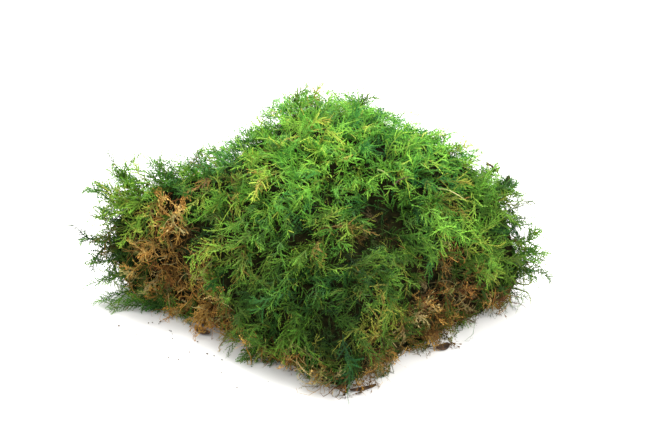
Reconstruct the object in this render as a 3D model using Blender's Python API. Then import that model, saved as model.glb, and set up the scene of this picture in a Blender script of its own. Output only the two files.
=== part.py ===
"""A cut block of fern moss: a green canopy over a mat of dead stems, with loose shoots, twigs and litter.

Metres, +Z up. The origin is on the flat base, under the middle of the block. The long cut face looks
along -Y, the short one along +X, and the sharpest corner points at +X -Y.
"""

import math

import bmesh
import bpy
from mathutils import Matrix, Vector, noise

# Driving sizes of the block, in metres.
LENGTH = 0.148
WIDTH = 0.134
EDGE_HEIGHT = 0.058
CANOPY_DEPTH = 0.014
CLEARANCE = 0.0004
HEM_WALL = 0.003
FLOOR_GAP = 0.0015

# Superellipse powers of the side profile and of the plan: 2 is round, more is squarer.
PROFILE_POWER = 4.2
PLAN_POWER = 9

# How far the mat's foot is inside the cut edge, bare, and how much more where a low hem covers it.
OPEN_INSET = 0.002
COVERED_INSET = 0.008
COVERING_HEM = 0.030

# Lumps of the surface, as (size, depth).
CANOPY_LUMP = (0.024, 0.0045)
THATCH_LUMP = (0.014, 0.004)
LUMP_SEED = 10

# Smooth rises and dips of the top: (x, y, spread, height).
MOUNDS = (
    (-0.050, 0.046, 0.042, 0.021),
    (0.028, 0.038, 0.046, 0.025),
    (-0.074, -0.070, 0.024, 0.020),
    (0.076, 0.066, 0.030, 0.012),
    (-0.030, -0.010, 0.030, 0.008),
    (0.014, -0.016, 0.030, 0.005),
    (0.072, -0.068, 0.028, -0.014),
    (0.044, -0.012, 0.011, -0.007),
)

# Height of the green hem above the floor, by compass angle in degrees from +X. Where it is high, the
# dead stems show below it.
HEM = (
    (-180, 0.018),
    (-158, 0.006),
    (-132, 0.005),
    (-124, 0.034),
    (-104, 0.036),
    (-88, 0.024),
    (-74, 0.006),
    (-45, 0.004),
    (-30, 0.008),
    (-14, 0.026),
    (6, 0.028),
    (22, 0.012),
    (34, 0.004),
    (52, 0.005),
    (78, 0.022),
    (104, 0.024),
    (126, 0.008),
    (150, 0.006),
    (180, 0.018),
)

# Bulges and hollows of the sides: (angle, height, spread in degrees, outward push). Each fades over
# BULGE_FADE above and below its height.
BULGE_FADE = 0.022
BULGES = (
    (-78, 0.030, 13, 0.005),
    (-112, 0.022, 20, -0.003),
    (-52, 0.020, 6, -0.007),
    (-43, 0.018, 7, 0.008),
    (-30, 0.034, 8, 0.004),
    (-14, 0.040, 12, -0.003),
    (14, 0.030, 14, 0.003),
    (42, 0.036, 9, 0.008),
    (40, 0.002, 9, 0.004),
    (-138, 0.038, 9, 0.017),
    (-138, 0.004, 10, 0.013),
    (96, 0.034, 20, 0.003),
    (168, 0.030, 16, -0.003),
)

# Loose shoots: route points in millimetres, then half width, and the direction that the flat side faces.
SHOOTS = {
    "shoot_left_long": (
        ((-80, -77.4, 30), (-86, -83, 33), (-87.5, -84.5, 36), (-90, -87, 39.5), (-93, -90, 39.5)),
        2.2,
        (0.5, -0.7, 0.5),
    ),
    "shoot_left_low": (
        ((-79.8, -78.2, 26.2), (-82, -80.2, 21), (-83.5, -81.5, 16.5), (-84, -82.5, 11)),
        3.2,
        (0.5, -0.8, 0.2),
    ),
    "shoot_left_mid": (
        ((-78.5, -69.3, 50), (-82, -73.5, 55), (-86, -77.5, 56.7), (-89, -80.5, 56)),
        2.6,
        (0.4, -0.5, 0.8),
    ),
    "shoot_left_crest": (
        ((-76.3, -62.2, 56.4), (-76.6, -62.6, 65.5), (-72.5, -58.5, 73.5), (-69, -55, 76.5)),
        3.4,
        (0.6, -0.7, 0.3),
    ),
    "shoot_top_mid": (
        ((-32.9, 16.4, 89.7), (-35, 14.5, 94.5), (-33, 16.5, 98), (-29.5, 20, 98.5), (-26, 23.5, 96)),
        2.6,
        (0.6, -0.7, 0.3),
    ),
    "shoot_top_right": (
        ((-7.9, 34.8, 93.4), (-6, 36.5, 96.3), (-3, 39.5, 97), (0.5, 43, 95)),
        2.6,
        (0.6, -0.7, 0.3),
    ),
    "shoot_right_upper": (
        ((78.8, 64.2, 36.6), (80, 66, 40), (81, 67, 43), (82.5, 68.5, 44)),
        3.4,
        (0.7, -0.6, 0.4),
    ),
    "shoot_right_long": (
        ((80.3, 66, 25), (83, 69, 27.3), (85.8, 71.8, 29.8), (89.5, 75.5, 30.5)),
        1.8,
        (0.6, -0.5, 0.6),
    ),
    "shoot_right_mid": (
        ((79.4, 63.3, 12.8), (81.3, 64.6, 14.4), (81.8, 65, 17), (81.3, 64.5, 20)),
        1.1,
        (0.6, -0.7, 0.3),
    ),
    "shoot_right_curl": (
        ((78.9, 62.2, 9.8), (81.2, 63.2, 9), (82.4, 64, 6.2), (82.6, 64.2, 2.7)),
        1.1,
        (0.6, -0.7, 0.3),
    ),
}

# Thin twigs and grass stalks: route points in millimetres, then the radius at the thick end.
TWIGS = {
    "twig_left": (((-81.7, -74.2, 41), (-85.5, -77.5, 43), (-89, -80.5, 43.5), (-91, -82.5, 42.8)), 0.35),
    "twig_brown": (((42.9, 4.2, 76.1), (45, 7.5, 78.6), (47.5, 10.5, 79.8)), 0.45),
    "twig_edge": (((55, 58.5, 73.5), (57.5, 60.5, 71.5), (59.5, 62.5, 68)), 0.7),
    "stalk_pale": (((33, 3.5, 81), (36.5, 4.2, 80.7), (39.4, 5, 78.6)), 0.4),
    "stalk_bent": (((58, 19, 74.2), (61.5, 22.5, 73.3), (64.4, 26.5, 70.3), (66.8, 30.4, 66.6)), 0.4),
}

# Flat litter at the foot: middle, length, width and thickness in millimetres, then the turn in degrees.
LITTER = {
    "bark_flake_left": ((-16, -68, 1.0), (9, 4, 0.9), 8),
    "bark_flake_right": ((77.5, 4, 1.0), (7, 4.5, 1.0), 80),
    "leaf_sliver": ((76, -50, 0.7), (13, 2.4, 0.5), 66),
}

BUD_PLACE = (62.4, 66.8, 63.5)
BUD_SIZE = (1.3, 1.3, 3.2)

MM = 0.001

# Facets: columns round the block, then rows over the canopy, down the open thatch and across its base.
COLUMNS = 64
CANOPY_ROWS = 11
THATCH_SIDE_ROWS = 4
THATCH_BASE_ROWS = 3
HALVINGS = 30
BLADE_STEPS = 14
TWIG_STEPS = 10

# A blade swells along a stretch of half a sine wave, from BLADE_ROOT on, and its notches are this share
# of its width.
BLADE_HALF_THICKNESS = 0.0006
BLADE_ROOT = 0.12
BLADE_SPAN = 0.82
BLADE_TAPER_POWER = 0.7
BLADE_NOTCH = 0.55

TWIG_TIP = 0.4

# Litter: how far its ends lift, in millimetres, and how much they narrow.
LITTER_LIFT = 0.7
LITTER_NARROWING = 0.55


def clear_scene():
    for old in list(bpy.data.objects):
        bpy.data.objects.remove(old, do_unlink=True)


def material(name, colour, roughness):
    made = bpy.data.materials.new(name)
    made.use_nodes = True
    shader = made.node_tree.nodes["Principled BSDF"]
    shader.inputs["Base Color"].default_value = (*colour, 1.0)
    shader.inputs["Roughness"].default_value = roughness
    shader.inputs["Metallic"].default_value = 0.0
    return made


def add_object(name, bm, finish, smooth=True):
    bmesh.ops.recalc_face_normals(bm, faces=bm.faces)
    mesh = bpy.data.meshes.new(name)
    bm.to_mesh(mesh)
    bm.free()
    if smooth:
        mesh.shade_smooth()
    mesh.materials.append(finish)
    made = bpy.data.objects.new(name, mesh)
    bpy.context.scene.collection.objects.link(made)
    return made


# ---- the block's own surfaces ----


def superellipse(turn, power):
    """(share of the radius, share of the height) at a turn from the top, 0, to the foot, a quarter turn."""
    across, along = math.sin(turn), math.cos(turn)
    size = (abs(across) ** power + abs(along) ** power) ** (-1 / power)
    return across * size, along * size


def plan_radius(angle):
    """How far the cut edge is from the middle: a rectangle with rounded corners."""
    across = abs(math.cos(angle)) / (LENGTH / 2)
    along = abs(math.sin(angle)) / (WIDTH / 2)
    return (across**PLAN_POWER + along**PLAN_POWER) ** (-1 / PLAN_POWER)


def hem_height(angle):
    degrees = math.degrees(angle)
    for (low, low_hem), (high, high_hem) in zip(HEM, HEM[1:]):
        if low <= degrees <= high:
            share = (degrees - low) / (high - low)
            share = share * share * (3 - 2 * share)
            return low_hem + (high_hem - low_hem) * share
    return HEM[0][1]


def crown_height(x, y):
    height = EDGE_HEIGHT
    for middle_x, middle_y, spread, rise in MOUNDS:
        away = ((x - middle_x) ** 2 + (y - middle_y) ** 2) / (2 * spread**2)
        height += rise * math.exp(-away)
    return height


def side_push(angle, height):
    push = 0.0
    for degrees, middle, spread, amount in BULGES:
        turn = (math.degrees(angle) - degrees + 180) % 360 - 180
        away = (turn / spread) ** 2 + ((height - middle) / BULGE_FADE) ** 2
        push += amount * math.exp(-away / 2)
    return push


def lumped(point, lump=CANOPY_LUMP, share=1.0):
    """The point moved by smooth noise of that lump size and depth."""
    size, depth = lump
    return point + depth * share * noise.noise_vector(point / size)


def canopy_point(angle, turn):
    """The green outside at that compass angle, from the crown, turn 0, to the foot, a quarter turn."""
    share, rise = superellipse(turn, PROFILE_POWER)
    reach = share * plan_radius(angle)
    height = crown_height(reach * math.cos(angle), reach * math.sin(angle)) * rise
    reach += share * side_push(angle, height)
    return lumped(Vector((reach * math.cos(angle), reach * math.sin(angle), height)))


def canopy_hem_turn(angle):
    """The turn at which the green outside reaches its hem, found by halving."""
    hem = max(hem_height(angle), FLOOR_GAP)
    above, below = 0.0, math.pi / 2
    for _ in range(HALVINGS):
        middle = (above + below) / 2
        if canopy_point(angle, middle).z > hem:
            above = middle
        else:
            below = middle
    return above


def mat_point(angle, row):
    """The dead mat under the green: the green outside moved in by the depth of the living layer."""
    turn = canopy_hem_turn(angle) * row / CANOPY_ROWS
    share, rise = superellipse(turn, PROFILE_POWER)
    across, along = share ** (PROFILE_POWER - 1), rise ** (PROFILE_POWER - 1)
    outward = Vector((across * math.cos(angle), across * math.sin(angle), along)).normalized()
    depth = HEM_WALL + (CANOPY_DEPTH - HEM_WALL) * (1 - row / CANOPY_ROWS)
    return canopy_point(angle, turn) - outward * depth


def open_mat_point(angle, share):
    """The bare side of the mat, from under the hem, share 0, down to the floor, share 1."""
    hem = mat_point(angle, CANOPY_ROWS)
    covered = max(0.0, 1 - hem_height(angle) / COVERING_HEM)
    foot = plan_radius(angle) - OPEN_INSET - COVERED_INSET * covered
    swell = math.sin(share * math.pi / 2)
    reach = hem.xy.length + (foot - hem.xy.length) * swell
    height = hem.z * (1 - share)
    reach += share * side_push(angle, height)
    point = Vector((reach * math.cos(angle), reach * math.sin(angle), height))
    moved = lumped(point, THATCH_LUMP, share)
    moved.z = height
    return moved


def ball(rows):
    """A closed ball, with the row and column of each of its vertices. The poles count as column 0."""
    bm = bmesh.new()
    bmesh.ops.create_uvsphere(bm, u_segments=COLUMNS, v_segments=rows, radius=1.0)
    places = {}
    for vert in bm.verts:
        row = round(math.acos(max(-1.0, min(1.0, vert.co.z))) / math.pi * rows)
        column = 0
        if 0 < row < rows:
            column = round(math.atan2(vert.co.y, vert.co.x) / math.tau * COLUMNS) % COLUMNS
        places[vert] = (row, column)
    return bm, places


def column_angle(column):
    """The compass angle of a column, between minus and plus half a turn."""
    return (column / COLUMNS * math.tau + math.pi) % math.tau - math.pi


def split_squares(bm, grid):
    """Splits each square by the same rule, so that the two mats have matching facets where they face."""
    for face in list(bm.faces):
        corners = {grid[vert]: vert for vert in face.verts}
        if len(corners) < 4:
            continue
        row = min(corner[0] for corner in corners)
        for column in range(COLUMNS):
            after = (column + 1) % COLUMNS
            if (row, column) in corners and (row, after) in corners:
                bmesh.utils.face_split(face, corners[row, column], corners[row + 1, after])
                break


def thatch_shape():
    """The mat's mesh, and the place and outward direction of each of its vertices by row and column."""
    foot_row = CANOPY_ROWS + THATCH_SIDE_ROWS
    rows = foot_row + THATCH_BASE_ROWS
    bm, places = ball(rows)
    for vert, (row, column) in places.items():
        angle = column_angle(column)
        if row <= CANOPY_ROWS:
            vert.co = mat_point(angle, row)
        else:
            vert.co = open_mat_point(angle, min(1.0, (row - CANOPY_ROWS) / THATCH_SIDE_ROWS))
        if row > foot_row:
            vert.co *= (rows - row) / THATCH_BASE_ROWS
    split_squares(bm, places)
    bm.normal_update()
    surface = {}
    for vert, place in places.items():
        surface[place] = (vert.co.copy(), vert.normal.copy())
    return bm, surface


def canopy_shape(inside):
    """A bell: a ball whose upper half is the green outside and whose lower half lies just off the thatch."""
    rows = 2 * CANOPY_ROWS + 1
    bm, places = ball(rows)
    for vert, (row, column) in places.items():
        angle = column_angle(column)
        if row <= CANOPY_ROWS:
            vert.co = canopy_point(angle, canopy_hem_turn(angle) * row / CANOPY_ROWS)
        else:
            point, outward = inside[rows - row, column]
            vert.co = point + outward * CLEARANCE
    depth_rows = {vert: (min(row, rows - row), column) for vert, (row, column) in places.items()}
    split_squares(bm, depth_rows)
    return bm


# ---- the loose pieces ----


def along_route(route, share):
    """The point at that share of a smooth curve through the route's points, in metres."""
    points = [Vector(point) * MM for point in route]
    spans = len(points) - 1
    span = min(int(share * spans), spans - 1)
    part = share * spans - span
    start, end = points[span], points[span + 1]
    before = points[span - 1] if span > 0 else 2 * start - end
    after = points[span + 2] if span + 2 <= spans else 2 * end - start
    slope_in, slope_out = (end - before) / 2, (after - start) / 2
    square, cube = part**2, part**3
    ends = start * (2 * cube - 3 * square + 1) + end * (3 * square - 2 * cube)
    return ends + slope_in * (cube - 2 * square + part) + slope_out * (cube - square)


def blade_ring(bm, route, share, half_width, faces):
    """Four edges across a blade: two at its margins and two at its ridge and keel."""
    ahead = along_route(route, min(1.0, share + 0.02)) - along_route(route, max(0.0, share - 0.02))
    across = ahead.cross(Vector(faces)).normalized()
    ridge = across.cross(ahead).normalized() * BLADE_HALF_THICKNESS
    ring = bmesh.ops.create_circle(bm, segments=4, radius=1.0)["verts"]
    middle = along_route(route, share)
    for vert, offset in zip(ring, (across * half_width, ridge, -across * half_width, -ridge)):
        vert.co = middle + offset
    return ring


def build_shoot(name, finish):
    """A flat branched shoot: a blade whose margin steps in and out at each pair of branches."""
    route, half_width, faces = SHOOTS[name]
    bm = bmesh.new()
    rings = []
    for step in range(BLADE_STEPS + 1):
        share = step / BLADE_STEPS
        taper = math.sin(math.pi * (BLADE_ROOT + BLADE_SPAN * share)) ** BLADE_TAPER_POWER
        notch = 1.0 if step % 2 else BLADE_NOTCH
        ring = blade_ring(bm, route, share, half_width * MM * taper * notch, faces)
        rings.append(list({edge for vert in ring for edge in vert.link_edges}))
    for before, after in zip(rings, rings[1:]):
        bmesh.ops.bridge_loops(bm, edges=before + after)
    bmesh.ops.holes_fill(bm, edges=bm.edges, sides=4)
    bmesh.ops.triangulate(bm, faces=bm.faces)
    return add_object(name, bm, finish, smooth=False)


def build_twig(name, finish):
    route, radius = TWIGS[name]
    curve = bpy.data.curves.new(name, "CURVE")
    curve.dimensions = "3D"
    curve.bevel_depth = radius * MM
    curve.bevel_resolution = 2
    curve.use_fill_caps = True
    spline = curve.splines.new("POLY")
    spline.points.add(TWIG_STEPS)
    for step, point in enumerate(spline.points):
        share = step / TWIG_STEPS
        point.co = (*along_route(route, share), 1.0)
        point.radius = 1 + (TWIG_TIP - 1) * share
    curve.materials.append(finish)
    twig = bpy.data.objects.new(name, curve)
    bpy.context.scene.collection.objects.link(twig)


def build_litter(name, finish):
    """A curled plate that lies on the floor beside the mat's foot."""
    middle, size, degrees = LITTER[name]
    bm = bmesh.new()
    bmesh.ops.create_cube(bm, size=1.0)
    long_edges = [edge for edge in bm.edges if abs((edge.verts[0].co - edge.verts[1].co).x) > 0.5]
    bmesh.ops.subdivide_edges(bm, edges=long_edges, cuts=5, use_grid_fill=True)
    for vert in bm.verts:
        towards_end = (2 * vert.co.x) ** 2
        width = size[1] * (1 - LITTER_NARROWING * towards_end)
        height = vert.co.z * size[2] + LITTER_LIFT * towards_end
        vert.co = Vector((vert.co.x * size[0], vert.co.y * width, height))
    turn = Matrix.Rotation(math.radians(degrees), 4, "Z")
    place = Matrix.Translation(Vector(middle) * MM)
    bmesh.ops.transform(bm, matrix=place @ turn @ Matrix.Scale(MM, 4), verts=bm.verts)
    add_object(name, bm, finish)


def build_bud(finish):
    bm = bmesh.new()
    bmesh.ops.create_uvsphere(bm, u_segments=10, v_segments=6, radius=MM)
    bmesh.ops.scale(bm, vec=BUD_SIZE, verts=bm.verts)
    bmesh.ops.translate(bm, vec=Vector(BUD_PLACE) * MM, verts=bm.verts)
    add_object("bud_scale", bm, finish)


def build_block(finishes):
    thatch, inside = thatch_shape()
    canopy = canopy_shape(inside)
    add_object("thatch", thatch, finishes["dead_stem"])
    add_object("canopy", canopy, finishes["green_frond"])


def main():
    clear_scene()
    noise.seed_set(LUMP_SEED)
    finishes = {
        "green_frond": material("green_frond", (0.10, 0.20, 0.03), 0.75),
        "dark_frond": material("dark_frond", (0.03, 0.07, 0.02), 0.75),
        "dead_stem": material("dead_stem", (0.17, 0.09, 0.03), 0.85),
        "twig_bark": material("twig_bark", (0.05, 0.03, 0.02), 0.8),
        "pale_straw": material("pale_straw", (0.35, 0.30, 0.15), 0.6),
        "leaf_litter": material("leaf_litter", (0.10, 0.055, 0.03), 0.7),
    }
    build_block(finishes)
    for name in SHOOTS:
        dark = name in ("shoot_left_long", "shoot_left_low")
        build_shoot(name, finishes["dark_frond" if dark else "green_frond"])
    for name in TWIGS:
        build_twig(name, finishes["pale_straw" if name.startswith("stalk") else "twig_bark"])
    for name in LITTER:
        build_litter(name, finishes["leaf_litter"])
    build_bud(finishes["twig_bark"])


main()
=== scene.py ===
"""Fern moss clump: builds the fronds, dead stems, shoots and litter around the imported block."""

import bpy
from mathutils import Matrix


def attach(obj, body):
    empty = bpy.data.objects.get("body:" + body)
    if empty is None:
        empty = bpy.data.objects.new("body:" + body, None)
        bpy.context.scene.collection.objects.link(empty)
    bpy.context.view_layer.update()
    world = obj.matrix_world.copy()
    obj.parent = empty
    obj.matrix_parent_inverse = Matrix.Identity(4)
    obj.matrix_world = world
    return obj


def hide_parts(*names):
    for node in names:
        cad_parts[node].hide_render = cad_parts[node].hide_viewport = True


bl_info = {
    "name": "Fern Moss Clump",
    "version": (1, 0, 0),
    "blender": (4, 5, 0),
    "location": "3D View > Sidebar > Moss",
    "description": "Dresses a cut block of fern moss in fronds, dead stems, loose shoots and litter",
    "category": "Add Mesh",
}

import copy
import math

import bmesh
import bpy
import numpy as np
from mathutils import Matrix, Vector, noise
from mathutils.bvhtree import BVHTree

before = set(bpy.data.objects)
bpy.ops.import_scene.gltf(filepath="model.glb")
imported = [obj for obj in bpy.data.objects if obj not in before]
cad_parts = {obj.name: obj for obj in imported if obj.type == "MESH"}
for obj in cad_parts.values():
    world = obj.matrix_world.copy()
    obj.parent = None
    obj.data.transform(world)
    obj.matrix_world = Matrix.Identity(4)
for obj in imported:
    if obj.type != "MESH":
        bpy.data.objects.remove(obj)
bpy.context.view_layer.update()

MM = 0.001
BODY = "root"
PALETTE_UV = "OFBake"
FLOOR_CLEARANCE = 0.0003
SPINE_POINTS = 14

NOISE_SEED = 5
FROND_SEED = 11
DEAD_SEED = 23
SHOOT_SEED = 31
CRUMB_SEED = 41

# Living fronds, lengths in metres. THINNING is the share that is missing where the clump is fully worn,
# BARE_LIMIT how worn a place may be under a frond's tip, and CROWN_SLOPE the least upward part of an
# outward direction on the crown.
LONGEST_FROND = 0.036
FROND_STEM_RADIUS = 0.00028
FROND_RELIEF = (-0.0036, 0.0045)
FROND_SINK = 0.0005
THINNING = 0.92
BARE_LIMIT = 0.55
CROWN_SLOPE = 0.62
CLUMP_HEIGHT = 0.09

# Dead stems on the bare sides, lengths in metres. Where X is past RIGHT_SIDE they are darker, which is
# painted shade on that side.
DEAD_RELIEF = (-0.0045, 0.0030)
DEAD_RELIEF_SIZE = 0.0045
DEAD_STEM_RADII = (0.00020, 0.00042)
DEAD_BRANCH = 0.0034
DEAD_BRANCH_PAIRS = 8
RIGHT_SIDE = 0.060

# Loose shoots, in metres.
SHOOT_STEM_RADIUS = 0.00055
SHOOT_ROOT_DEPTH = 0.009

# How far the dark beds lie inside the two mats, in metres. Their near-black finish is painted shade, the
# dark between the fronds.
CANOPY_INSET = 0.0060
MAT_INSET = 0.0045

# A branch's width as a share of its length. Angles in degrees: the range for leaves on a branch, and
# those of branches at the foot and at the tip of a frond.
BRANCH_WIDTH = 0.095
LEAF_ANGLES = (30, 54)
BRANCH_ANGLES = (58, 36)

# Shares of the branches and of the fronds that are dry.
DRY_BRANCHES = 0.04
DRY_FRONDS = 0.07

# The direction that the sprays beside the clump face.
OPEN_SIDE = (0.4, -0.5, 0.8)

# Stage: places in metres, angles in degrees, lens in millimetres.
KEY_PLACE = (-0.58, 0.30, 1.10)
FILL_PLACE = (0.90, 0.25, 0.60)
LIGHT_TARGET = (0, 0, 0.05)
LIGHT_COLOUR = (1.0, 0.985, 0.96)
CAMERA_AZIMUTH = 45
CAMERA_ELEVATION = 26.5
CAMERA_DISTANCE = 1.0
CAMERA_LENS = 100
CAMERA_TARGET = (-0.064, 0.065, 0.0)

# Tints along the palette's width, from 0 to 1, and the palette's shades from base to tip. The shades are
# painted light and shade: dark at the bases, down in the mat and in hollows, and light at the tips and on
# the crown.
FROND_TINTS = (
    (0.00, (0.018, 0.130, 0.040)),
    (0.14, (0.048, 0.240, 0.044)),
    (0.32, (0.142, 0.425, 0.040)),
    (0.50, (0.315, 0.660, 0.066)),
    (0.66, (0.570, 0.740, 0.090)),
    (0.78, (0.580, 0.520, 0.085)),
    (0.90, (0.500, 0.280, 0.070)),
    (1.00, (0.200, 0.100, 0.040)),
)
FROND_SHADES = ((0.0, 0.02), (0.35, 0.17), (0.70, 0.62), (1.0, 1.0))
DEAD_TINTS = (
    (0.00, (0.080, 0.030, 0.012)),
    (0.25, (0.260, 0.105, 0.034)),
    (0.50, (0.600, 0.300, 0.062)),
    (0.70, (0.820, 0.500, 0.120)),
    (0.86, (0.760, 0.600, 0.260)),
    (1.00, (0.330, 0.380, 0.075)),
)
DEAD_SHADES = ((0.0, 0.04), (0.4, 0.28), (0.75, 0.75), (1.0, 1.0))

# The tables below give places and lengths in millimetres.

# Where the clump's look changes: place, reach, tint shift, shade shift and how far the surface sinks. The
# shade shift is mostly painted light and shade: darker in crevices and hollows and lighter on the lit crown
# and sides, while some tufts are lighter in their own colour.
PATCHES = (
    ((48, -20, 61), 7, -0.02, -0.45, 8),
    ((50, -8, 64), 8, -0.02, -0.45, 9),
    ((58, -4, 62), 8, -0.02, -0.40, 8),
    ((54, -37, 56), 5, -0.02, -0.45, 7),
    ((60, 22, 69), 5, 0.00, -0.35, 5),
    ((61, -60, 36), 8, -0.06, -0.40, 8),
    ((68, -65, 25), 7, -0.06, -0.40, 7),
    ((-15, -54, 56), 5, 0.00, -0.40, 6),
    ((73, 14, 39), 6, 0.00, -0.25, 5),
    ((18, -67, 36), 8, -0.04, -0.18, 3),
    ((12, -34, 73), 12, 0.06, 0.24, -1),
    ((21, -46, 63), 9, -0.04, -0.24, 2),
    ((8, -65, 32), 13, 0.12, 0.14, 0),
    ((68, 17, 59), 12, 0.08, 0.18, -1),
    ((76, 39, 37), 12, 0.08, 0.12, 0),
    ((-61, -74, 45), 10, 0.06, 0.22, 0),
    ((67, -37, 47), 9, 0.08, -0.08, 0),
    ((-24, -40, 70), 8, 0.22, -0.24, 2),
    ((-8, -62, 44), 9, 0.02, 0.10, -1),
    ((67, -30, 49), 10, -0.13, -0.12, -2),
    ((66, -42, 44), 7, -0.04, -0.12, -1),
    ((28, 16, 83), 15, 0.00, 0.24, -1),
    ((76, 48, 24), 13, 0.06, 0.26, 0),
    ((-40, -48, 62), 16, 0.05, 0.20, 0),
    ((-10, -58, 46), 14, 0.04, 0.12, 0),
    ((74, -36, 30), 8, 0.34, 0.34, -2),
    ((70, -46, 20), 6, 0.10, 0.14, 0),
    ((-30, -63, 43), 6, 0.00, -0.55, 5),
    ((-27, -62, 32), 6, 0.00, -0.50, 5),
    ((-50, -68, 44), 5, 0.00, -0.40, 4),
    ((-40, -66, 14), 5, 0.00, -0.30, 3),
    ((-14, -63, 22), 9, 0.00, 0.20, -1),
    ((1, -65, 22), 5, 0.00, -0.20, 3),
    ((73, 18, 33), 5, 0.00, -0.38, 4),
    ((49, -65, 16), 9, -0.13, 0.06, 0),
    ((37, -63, 37), 8, -0.13, 0.06, 0),
    ((53, -49, 49), 7, -0.12, 0.06, 0),
    ((38, -64, 24), 22, 0.06, 0.12, 0),
    ((36, -34, 66), 16, 0.05, 0.02, 0),
    ((-77, -64, 56), 18, 0.08, 0.34, 0),
    ((74, 30, 50), 20, 0.06, 0.14, 0),
    ((30, 50, 84), 24, -0.02, 0.10, 0),
    ((2, -8, 84), 24, 0.02, 0.10, 0),
    ((-66, -74, 12), 16, -0.03, 0.02, 0),
)

# Fronds that lie out over the floor or the air beside the clump: root, bend and tip.
SPRAYS = (
    ((-62, -70, 16), (-76, -80, 15), (-86, -86, 4)),
    ((-58, -70, 9), (-72, -81, 8), (-80, -88, 1.5)),
    ((-48, -68, 6), (-60, -78, 5), (-67, -85, 1)),
    ((-66, -71, 24), (-80, -79, 24), (-88, -84, 15)),
    ((-70, -70, 32), (-84, -78, 33), (-89, -84, 25)),
    ((-40, -64, 5), (-50, -73, 4), (-56, -79, 1)),
    ((-74, -62, 46), (-86, -74, 56), (-90, -80, 55)),
    ((-72, -58, 52), (-80, -66, 68), (-84, -70, 74)),
    ((72, 56, 30), (81, 64, 34), (86, 69, 30)),
    ((72, 58, 22), (82, 66, 22), (85, 68, 14)),
    ((50, 56, 54), (58, 64, 63), (61, 66, 67)),
    ((52, 60, 50), (60, 67, 57), (64, 70, 63)),
    ((48, 52, 60), (56, 62, 68), (60, 66, 70)),
    ((56, 58, 52), (63, 64, 58), (66, 68, 62)),
    ((18, -60, 7), (17, -70, 6), (16, -75, 1.5)),
)

# Dead shoots that hang over the flakes at the clump's foot: root, bend and tip.
DEAD_SPRAYS = (
    ((-12, -60, 13), (-13, -69, 11), (-15, -71.5, 2.6)),
    ((-18, -60, 11), (-19, -70, 9), (-20, -72, 2.4)),
    ((-8, -60, 10), (-9, -69, 8), (-10, -71, 1.5)),
    ((-22, -60, 10), (-25, -70, 7), (-26, -73, 1.5)),
    ((-15, -60, 15), (-17, -70, 14), (-18, -72, 5)),
    ((-30, -60, 8), (-33, -70, 6), (-35, -73, 1.5)),
    ((68, 2, 11), (78, 2, 10), (80, 3, 2.6)),
    ((68, 8, 10), (78, 9, 8), (80.5, 10, 1.5)),
    ((68, -4, 9), (78, -4, 8), (81, -3, 1.5)),
    ((68, 5, 13), (77, 6, 13), (80.5, 6, 4)),
    ((68, -48, 8), (77, -49, 6), (80, -49, 2.4)),
)

# Where the green is worn away and dead stems show: place, reach and how bare.
WORN = (
    ((51, -12, 63), 8, 0.7),
    ((-44, -66, 38), 14, 1.0),
    ((-54, -72, 28), 10, 0.7),
    ((-28, -64, 32), 14, 1.0),
    ((-10, -63, 12), 12, 0.9),
    ((4, -64, 3), 10, 0.8),
    ((-5, -66, 9), 12, 1.0),
    ((-46, -63, 55), 8, 0.8),
    ((-36, -66, 16), 12, 1.0),
    ((-22, -64, 14), 12, 1.0),
    ((22, -67, 4), 10, 0.7),
    ((44, -70, 3), 10, 0.8),
    ((66, -69, 3), 11, 0.9),
    ((77, -46, 13), 8, 0.9),
    ((77, -18, 10), 12, 0.7),
    ((75, 2, 30), 13, 1.0),
    ((74, 20, 22), 12, 0.9),
    ((73, 20, 44), 7, 0.8),
    ((74, 40, 10), 12, 0.5),
)

# Where shoots stand up in airy tufts: place, reach and how much they stand up.
TUFTS = (
    ((-78, -64, 54), 16, 1.30),
    ((-86, -74, 46), 9, 0.70),
    ((-66, -52, 64), 11, 1.10),
    ((-60, -40, 70), 14, 0.25),
    ((-40, 10, 90), 12, 0.15),
    ((2, 40, 92), 14, 0.10),
    ((45, 62, 78), 14, 0.25),
    ((78, 62, 45), 12, 0.15),
)

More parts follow.
